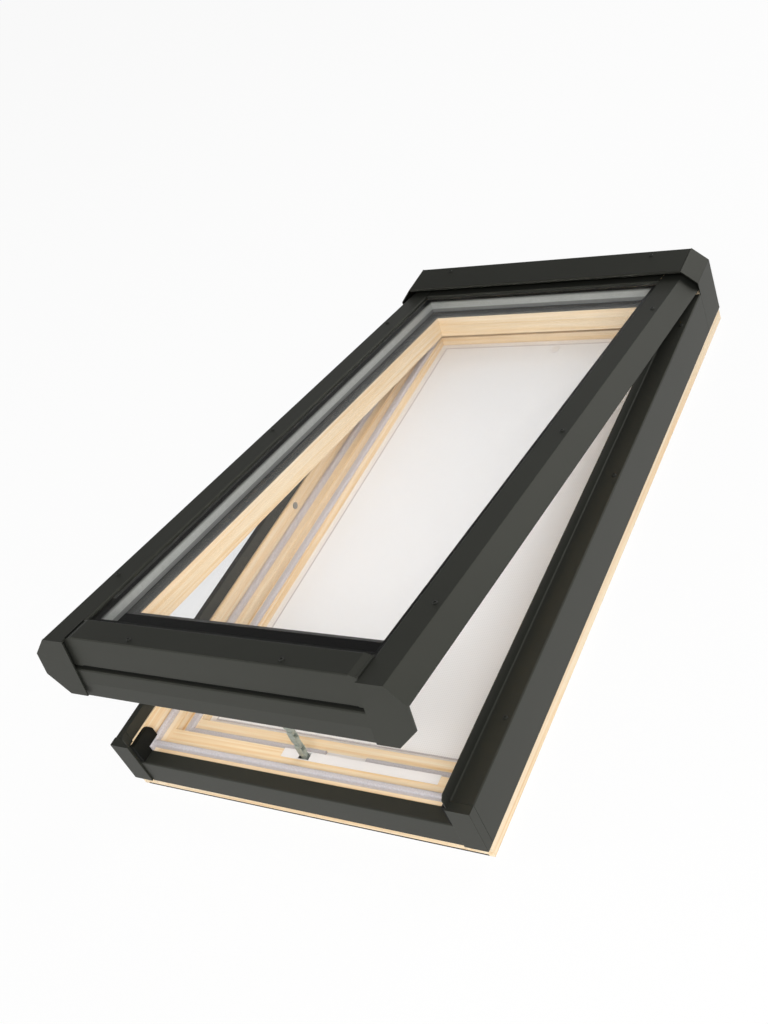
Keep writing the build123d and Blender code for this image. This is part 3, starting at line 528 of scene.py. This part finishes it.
# %% Assign materials
finishes = {
    coat: (
        "frame_left_cladding frame_right_cladding frame_front_cladding frame_left_corner_cap "
        "frame_right_corner_cap hood_cover hood_left_end hood_right_end sash_left_cladding sash_right_cladding "
        "sash_top_cladding sash_front_panel sash_apron sash_left_corner_cap sash_right_corner_cap"
    ),
    pine_up: "frame_left_stile frame_right_stile",
    pine_across: "frame_bottom_rail frame_top_rail",
    pine_lean_up: "sash_left_stile sash_right_stile",
    pine_lean_across: "sash_bottom_rail sash_top_rail",
    grey_rubber: "outer_frame_seal inner_frame_seal screen_spline",
    black_rubber: "left_corner_seal right_corner_seal sill_strip",
    bed_rubber: "glazing_bed glass_edge_seal",
    white_plastic: "screen_frame screen_tab drive_cover",
    grey_plastic: "stile_screw_cap",
    zinc: (
        "drive_housing drive_chain chain_bracket left_hinge_frame_leaf right_hinge_frame_leaf "
        "left_hinge_sash_leaf right_hinge_sash_leaf left_hinge_pin right_hinge_pin"
    ),
    screw_steel: "hood_screws frame_cladding_screws sash_screws",
    spacer_metal: "glass_spacer",
    glass: "outer_pane inner_pane",
    cloth: "screen_mesh",
}


def dress(piece, finish):
    piece.data.materials.clear()
    piece.data.materials.append(finish)


for finish, names in finishes.items():
    for name in names.split():
        dress(nodes[name], finish)
print("dressed", sum(len(names.split()) for names in finishes.values()), "of", len(nodes), "nodes")

# %% [markdown]
# ## Shaping tools
# The chain, the trim and the screws are modelled as by hand: a primitive is added at its size, faces or edges are
# picked by their place, and operators shape them. A picked edge is easier to find by a test on its corners than by
# its number, so one helper takes such a test. Another softens hard edges with a bevel modifier, because no real
# metal edge is perfectly sharp. The last two copy a finished piece to its places and join the copies.

# %% Helpers for modelling
SMOOTH_BELOW = math.radians(35)


def fresh_cube(name, size, place=(0, 0, 0)):
    bpy.ops.object.select_all(action="DESELECT")
    bpy.ops.mesh.primitive_cube_add(size=1.0, location=place)
    piece = bpy.context.active_object
    piece.name = name
    piece.scale = size
    bpy.ops.object.transform_apply(location=True, rotation=False, scale=True)
    return piece


def pick(piece, kind, test):
    bpy.ops.object.mode_set(mode="EDIT")
    bpy.ops.mesh.select_mode(type=kind)
    bpy.ops.mesh.select_all(action="DESELECT")
    mesh = bmesh.from_edit_mesh(piece.data)
    for part in mesh.faces if kind == "FACE" else mesh.edges:
        part.select_set(test(part))
    bmesh.update_edit_mesh(piece.data)


def soften(piece, width):
    bpy.ops.object.mode_set(mode="OBJECT")
    bevel = piece.modifiers.new("soft_edges", "BEVEL")
    bevel.width = width
    bevel.segments = 2
    bevel.limit_method = "ANGLE"
    bpy.ops.object.modifier_apply(modifier=bevel.name)


def copies(piece, transforms):
    for transform in transforms:
        twin = piece.copy()
        twin.data = piece.data.copy()
        twin.data.transform(transform)
        bpy.context.scene.collection.objects.link(twin)
        yield twin


def joined(name, pieces):
    bpy.ops.object.select_all(action="DESELECT")
    for piece in pieces:
        piece.select_set(True)
    bpy.context.view_layer.objects.active = pieces[0]
    bpy.ops.object.join()
    whole = bpy.context.active_object
    whole.name = name
    whole.data.name = name
    bpy.ops.object.shade_smooth_by_angle(angle=SMOOTH_BELOW)
    return whole


print("helpers for modelling ready")

# %% [markdown]
# ## Drive chain
# The chain pushes as well as pulls, so it may bend one way only: each link has a square shoulder that meets the next
# one and keeps the chain straight. Links come in two kinds. Inner links are solid blocks, and outer links are two
# thin plates with a slit of shadow between them, held by rivets. One of each is modelled and copied up the run, in
# the chain's own upright position, and the whole chain is then leaned to meet the bracket on the sash.

# %% Measure the chain's run
CHAIN_ALONG = 65.5 * MM
CHAIN_EXIT = 46.0 * MM
BRACKET_ALONG = 86 * MM
BRACKET_BELOW = 76 * MM
LINK_COUNT = 15

chain_foot = Vector((0, frame_front + CHAIN_ALONG, CHAIN_EXIT))
chain_head = sash_front + up_slope * BRACKET_ALONG - out_of_glass * BRACKET_BELOW
chain_run = chain_head - chain_foot
pitch = chain_run.length / LINK_COUNT
print("link pitch in mm:", round(pitch / MM, 2))

# %% [markdown]
# ## Links
# Both kinds of link have the same outline, so one function makes them at two depths. A block is cut across twice,
# the side face between the cuts is pulled out for the shoulder, and the corners at both ends are rounded.

# %% Model the links
LINK_WIDTH = 9.0 * MM
LINK_ROUND = 3.6 * MM
LINK_SOFT = 0.2 * MM
BLOCK_DEPTH = 6.6 * MM
PLATE_DEPTH = 1.5 * MM
SHOULDER_PROUD = 1.0 * MM
SHOULDER_LENGTH = 8.0 * MM
HAIR = 0.01 * MM

link_half = (pitch + LINK_WIDTH) / 2


def link_blank(name, depth):
    blank = fresh_cube(name, (LINK_WIDTH, depth, link_half * 2))
    bpy.ops.object.mode_set(mode="EDIT")
    for cut in (-SHOULDER_LENGTH / 2, SHOULDER_LENGTH / 2):
        bpy.ops.mesh.select_all(action="SELECT")
        bpy.ops.mesh.bisect(plane_co=(0, 0, cut), plane_no=(0, 0, 1))
    pick(
        blank,
        "FACE",
        lambda face: face.normal.x > 0.9 and abs(face.calc_center_median().z) < SHOULDER_LENGTH / 2,
    )
    bpy.ops.mesh.extrude_region_move(TRANSFORM_OT_translate={"value": (SHOULDER_PROUD, 0, 0)})
    pick(
        blank,
        "EDGE",
        lambda edge: all(abs(v.co.z) > link_half - HAIR for v in edge.verts)
        and abs(edge.verts[0].co.y - edge.verts[1].co.y) > depth / 2,
    )
    bpy.ops.mesh.bevel(offset=LINK_ROUND, segments=5, affect="EDGES")
    soften(blank, LINK_SOFT)
    return blank


block = link_blank("chain_block", BLOCK_DEPTH)
plate = link_blank("chain_plate", PLATE_DEPTH)
print("link faces:", len(block.data.polygons), len(plate.data.polygons))

# %% [markdown]
# ## Rivets
# A rivet passes through the overlapping ends of two links and is hammered round at both ends. It is a short
# cylinder, and its two rims are bevelled.

# %% Model the rivet
RIVET_RADIUS = 2.0 * MM
RIVET_LENGTH = 10.4 * MM
RIVET_ROUND = 0.5 * MM

bpy.ops.object.select_all(action="DESELECT")
bpy.ops.mesh.primitive_cylinder_add(
    vertices=16, radius=RIVET_RADIUS, depth=RIVET_LENGTH, rotation=(math.pi / 2, 0, 0)
)
rivet = bpy.context.active_object
bpy.ops.object.transform_apply(location=False, rotation=True, scale=False)
pick(rivet, "EDGE", lambda edge: edge.verts[0].co.y * edge.verts[1].co.y > 0)
bpy.ops.mesh.bevel(offset=RIVET_ROUND, segments=3, affect="EDGES")
bpy.ops.object.mode_set(mode="OBJECT")
print("rivet faces:", len(rivet.data.polygons))

# %% [markdown]
# ## Chain end
# The last link ends in a thicker eye that the pin of the sash bracket passes through. It is a block whose upper end
# is rounded over the pin. With it made, links and rivets are copied up the run and everything is joined.

# %% Model the chain end and put the chain together
EYE_WIDTH = 12.0 * MM
EYE_DEPTH = 9.0 * MM
EYE_LENGTH = 16.0 * MM
EYE_ROUND = EYE_DEPTH * 0.45
EYE_SOFT = 0.3 * MM

eye = fresh_cube("chain_eye", (EYE_WIDTH, EYE_DEPTH, EYE_LENGTH), (0, 0, EYE_DEPTH / 2 - EYE_LENGTH / 2))
pick(
    eye,
    "EDGE",
    lambda edge: all(v.co.z > 0 for v in edge.verts) and abs(edge.verts[0].co.x - edge.verts[1].co.x) > HAIR,
)
bpy.ops.mesh.bevel(offset=EYE_ROUND, segments=5, affect="EDGES")
soften(eye, EYE_SOFT)
eye.data.transform(Matrix.Translation((0, 0, chain_run.length)))

plate_place = (BLOCK_DEPTH + PLATE_DEPTH) / 2
chain_pieces = [eye]
for link in range(LINK_COUNT - 1):
    middle = (link + 0.5) * pitch
    if link % 2:
        chain_pieces += copies(block, [Matrix.Translation((0, 0, middle))])
    else:
        sides = (-plate_place, plate_place)
        chain_pieces += copies(plate, [Matrix.Translation((0, side, middle)) for side in sides])
chain_pieces += copies(rivet, [Matrix.Translation((0, 0, joint * pitch)) for joint in range(LINK_COUNT)])
for blank in (block, plate, rivet):
    bpy.data.objects.remove(blank)
chain = joined("push_chain", chain_pieces)
lean = Vector((0, 0, 1)).rotation_difference(chain_run)
chain.data.transform(Matrix.Translation(chain_foot) @ lean.to_matrix().to_4x4())
dress(chain, chain_zinc)
print("chain of", LINK_COUNT, "links,", len(chain.data.polygons), "faces")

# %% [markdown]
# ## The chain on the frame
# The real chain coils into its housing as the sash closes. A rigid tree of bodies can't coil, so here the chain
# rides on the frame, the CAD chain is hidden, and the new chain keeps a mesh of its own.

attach(chain, "frame")
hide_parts("drive_chain")
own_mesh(chain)
print("chain length open in mm:", round(chain_run.length / MM, 1))

# %% [markdown]
# ## Joints at the sash front
# Beside the front panel each side rail turns up in a small lip of folded sheet. The lip's inner face is painted
# black as the shade of the rail's inner wall in the groove, so the joint shows dark from one side and plain from the
# other.
# One lip is a cube stretched along the joint, with its long edges rounded over and its inner face in the black
# material. A copy turned by half a circle makes the other.

# %% Model the joint lips
LIP_SIZE = (2.2 * MM, 41.0 * MM, 5.0 * MM)
LIP_AT = 242.3 * MM
LIP_ALONG = 27.5 * MM
LIP_RISE = 0.5 * MM
STRIP_ROUND = 0.3  # of the strip's least size


def rounded_strip(name, size, place=(0, 0, 0)):
    strip = fresh_cube(name, size, place)
    longest = max(size)
    pick(strip, "EDGE", lambda edge: edge.calc_length() > longest - HAIR)
    bpy.ops.mesh.bevel(offset=min(size) * STRIP_ROUND, segments=3, affect="EDGES")
    bpy.ops.object.mode_set(mode="OBJECT")
    bpy.ops.object.shade_smooth_by_angle(angle=SMOOTH_BELOW)
    return strip


lip = rounded_strip("joint_lip", LIP_SIZE)
lip.data.materials.append(coat)
lip.data.materials.append(black_rubber)
# the inner face is painted black: painted shade of the rail's inner wall in the groove
pick(lip, "FACE", lambda face: face.normal.x < -0.5)
lip.active_material_index = 1
bpy.ops.object.material_slot_assign()
bpy.ops.object.mode_set(mode="OBJECT")

right_place = sash_place @ Matrix.Translation((LIP_AT, LIP_ALONG, LIP_RISE))
left_place = sash_place @ Matrix.Translation((-LIP_AT, LIP_ALONG, LIP_RISE)) @ Matrix.Rotation(math.pi, 4, "Z")
joint_lips = joined("sash_joint_lips", list(copies(lip, (left_place, right_place))))
bpy.data.objects.remove(lip)
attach(joint_lips, "sash")
print("joint lips:", len(joint_lips.data.polygons), "faces")

# %% [markdown]
# ## Black strips at the sash front
# A black strip fills the gap between the front panel and the apron: it is painted shade of the gap. Inside the
# glazing unit a flat band of black sealant covers the front edge and shows through the glass; its near-black,
# glossless colour also paints the shade of the groove behind the front panel. Both are stretched cubes like the
# lips.

# %% Model the black strips
GAP_STRIP = (522.0 * MM, 7.0 * MM, 4.4 * MM)
GAP_PLACE = (0.0, 12.5 * MM, -47.6 * MM)
SPACER_WIDTH = 9.0 * MM
spacer_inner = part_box("glass_spacer")[1].x - SPACER_WIDTH
BAND_STRIP = (2 * spacer_inner, 44.0 * MM, 1.2 * MM)
BAND_PLACE = (0.0, 88.5 * MM, -35.4 * MM)

for name, size, place, finish in (
    # black strip in the apron gap: painted shade of the gap
    ("apron_gap_strip", GAP_STRIP, GAP_PLACE, black_rubber),
    # near-black band: sealant, and painted shade of the groove behind the front panel
    ("glazing_edge_band", BAND_STRIP, BAND_PLACE, black_sealant_and_painted_shade),
):
    strip = rounded_strip(name, size, place)
    strip.data.name = name
    strip.data.transform(sash_place)
    dress(strip, finish)
    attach(strip, "sash")
    print(name, len(strip.data.polygons), "faces")

# %% [markdown]
# ## Screws
# The sheets are held by small round-headed screws, coated like the sheet, each with a socket for the driver. The
# head starts as a cylinder: its rim is rounded, the top is inset, and the inset face is pushed down for the socket.

# %% Model one screw head
HEAD_RADIUS = 3.5 * MM
HEAD_HEIGHT = 2.2 * MM
HEAD_ROUND = 1.2 * MM
SOCKET_RIM = 0.5 * MM
SOCKET_DEPTH = 1.3 * MM

bpy.ops.object.select_all(action="DESELECT")
bpy.ops.mesh.primitive_cylinder_add(
    vertices=24, radius=HEAD_RADIUS, depth=HEAD_HEIGHT, location=(0, 0, HEAD_HEIGHT / 2)
)
screw = bpy.context.active_object
bpy.ops.object.transform_apply(location=True, rotation=False, scale=False)
pick(screw, "EDGE", lambda edge: all(v.co.z > HEAD_HEIGHT - HAIR for v in edge.verts))
bpy.ops.mesh.bevel(offset=HEAD_ROUND, segments=4, affect="EDGES")
pick(screw, "FACE", lambda face: face.normal.z > 0.99)
bpy.ops.mesh.inset(thickness=SOCKET_RIM)
bpy.ops.mesh.extrude_region_move(TRANSFORM_OT_translate={"value": (0, 0, -SOCKET_DEPTH)})
bpy.ops.object.mode_set(mode="OBJECT")
print("screw head faces:", len(screw.data.polygons))

# %% [markdown]
# ## Setting the screws
# The heads stand on the hood, on the frame's ledges, on the front panel and on the side rails of the sash. Those on
# the sash lean with it. Distances run from the middle of the window and from the front of the frame or sash.

# %% Copy the screw to its places
HOOD_TOP = 156 * MM
LEDGE_TOP = 106 * MM
PANEL_RISE = 4.8 * MM
hood_spots = [(211.5, 1174.0)]
ledge_spots = [(300.0, 152.32), (300.0, 630.7), (300.0, 1021.02)]
panel_spots = [(127.5, 17.0)]
rail_spots = [(270.0, 157.68), (270.0, 584.0), (270.0, 1004.48)]
frame_place = Matrix.Translation((0, frame_front, 0))


def both_sides(base, spots, height):
    for across, along in spots:
        for side in (-1, 1):
            yield base @ Matrix.Translation((side * across * MM, along * MM, height))


hood_places = list(both_sides(frame_place, hood_spots, HOOD_TOP))
ledge_places = list(both_sides(frame_place, ledge_spots, LEDGE_TOP))
panel_places = list(both_sides(sash_place, panel_spots, PANEL_RISE))
rail_places = list(both_sides(sash_place, rail_spots, 0.0))
for name, node, body, places in (
    ("hood_screw_heads", "hood_screws", "frame", hood_places),
    ("ledge_screw_heads", "frame_cladding_screws", "frame", ledge_places),
    ("sash_screw_heads", "sash_screws", "sash", panel_places + rail_places),
):
    heads = joined(name, list(copies(screw, places)))
    dress(heads, screw_steel)
    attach(heads, body)
    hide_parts(node)
    print(name, len(places), "heads")
bpy.data.objects.remove(screw)

# %% [markdown]
# ## Floor
# The window lies on a plain white floor of matte paint. The floor shows as near white to the camera, and to what the
# glass and metal mirror, and it still takes a soft shadow. So most of its colour is a glow that only those rays see,
# mixed with plain paint.

# %% Floor
FLOOR_SIZE = 60.0
FLOOR_DROP = 0.5 * MM
FLOOR_GLOW = 0.93

bpy.ops.object.select_all(action="DESELECT")
bpy.ops.mesh.primitive_plane_add(size=FLOOR_SIZE, location=(0, 0, -FLOOR_DROP))
floor = bpy.context.active_object
floor.name = "floor"


def floor_paint():
    material, tree, shader = start_material(
        "white_floor_paint", Base_Color=linear("#F4F4F3"), Roughness=0.9
    )
    path = add(tree, "ShaderNodeLightPath").outputs
    seen = path["Is Camera Ray"]
    for ray in ("Is Glossy Ray", "Is Transmission Ray"):
        seen = add(tree, "ShaderNodeMath", {"operation": "MAXIMUM"}, {0: seen, 1: path[ray]}).outputs["Value"]
    share = add(tree, "ShaderNodeMath", {"operation": "MULTIPLY"}, {0: seen, 1: FLOOR_GLOW})
    glow = add(tree, "ShaderNodeEmission", inputs={"Color": linear("#FFFFFF"), "Strength": 1.0})
    add(
        tree,
        "ShaderNodeMixShader",
        inputs={0: share.outputs["Value"], 1: shader.outputs["BSDF"], 2: glow.outputs["Emission"]},
        feeds={"Shader": tree.nodes["Material Output"].inputs["Surface"]},
    )
    return material


dress(floor, floor_paint())
print("floor of", FLOOR_SIZE, "metres")

# %% [markdown]
# ## Sky
# The sky is white at the horizon, where it meets the floor, and grey above. Upper faces mirror the grey part, so
# they stay darker than the fronts, which mirror the floor. How steeply a ray rises decides the strength.

# %% Sky
SKY_STRENGTH = 0.14
SKY_HORIZON = 0.965
SKY_WHITE_TO = 0.05
SKY_GREY_FROM = 0.19

world = bpy.data.worlds.new("studio_sky")
bpy.context.scene.world = world
world.use_nodes = True
sky = world.node_tree.nodes["Background"]
sky.inputs["Color"].default_value = linear("#FFFFFF")
direction = add(world.node_tree, "ShaderNodeTexCoord").outputs["Generated"]
rise = add(world.node_tree, "ShaderNodeSeparateXYZ", inputs={"Vector": direction}).outputs["Z"]
add(
    world.node_tree,
    "ShaderNodeMapRange",
    {"interpolation_type": "SMOOTHSTEP"},
    {
        "Value": rise,
        "From Min": SKY_WHITE_TO,
        "From Max": SKY_GREY_FROM,
        "To Min": SKY_HORIZON,
        "To Max": SKY_STRENGTH,
    },
    feeds={"Result": sky.inputs["Strength"]},
)
print("made", world.name)

# %% [markdown]
# ## Lamps
# A broad key from the front, a weak fill from the left and a large panel at the right back stand in for the soft
# boxes of a studio. The key would show in the glass as a hard white sheet from behind, so mirrors don't see it.

# %% Lamps
LAMP_TARGET = Vector((0, 0, 0.1))
LAMPS = (  # name, place in metres, width in metres, watts
    ("front_key", Vector((1.8, -2.5, 2.5)), 2.6, 130.0),
    ("left_fill", Vector((-3.0, -1.6, 2.4)), 2.4, 32.0),
    ("right_back_panel", Vector((1.9, 3.1, 2.3)), 3.4, 68.0),
)

for name, place, width, watts in LAMPS:
    light = bpy.data.lights.new(name, "AREA")
    light.shape = "SQUARE"
    light.size = width
    light.energy = watts
    lamp = bpy.data.objects.new(name, light)
    bpy.context.scene.collection.objects.link(lamp)
    lamp.location = place
    lamp.rotation_euler = (LAMP_TARGET - place).to_track_quat("-Z", "Y").to_euler()
    lamp.visible_glossy = name != "front_key"
    print("lamp", name, watts, "W")

# %% [markdown]
# ## Camera
# The photograph looks down on the window from the lower right, with the camera rolled a little. Its place and turn
# were solved from the straight edges of the frame, in the same metres as the CAD model.

# %% Camera and colour view
CAMERA_PLACE = (1.0219, -1.2743, 1.3158)
CAMERA_TURN = (50.627, 20.377, 26.152)
CAMERA_LENS = 42.79
CAMERA_SENSOR = 36.0

camera_data = bpy.data.cameras.new("photo_camera")
camera_data.lens = CAMERA_LENS
camera_data.sensor_width = CAMERA_SENSOR
camera = bpy.data.objects.new("photo_camera", camera_data)
bpy.context.scene.collection.objects.link(camera)
camera.location = CAMERA_PLACE
camera.rotation_euler = Euler([math.radians(a) for a in CAMERA_TURN])
bpy.context.scene.camera = camera
bpy.context.scene.view_settings.view_transform = "Standard"
print("camera at", CAMERA_PLACE)

# %% [markdown]
# ## End

# %% Finish
print("scene finished")
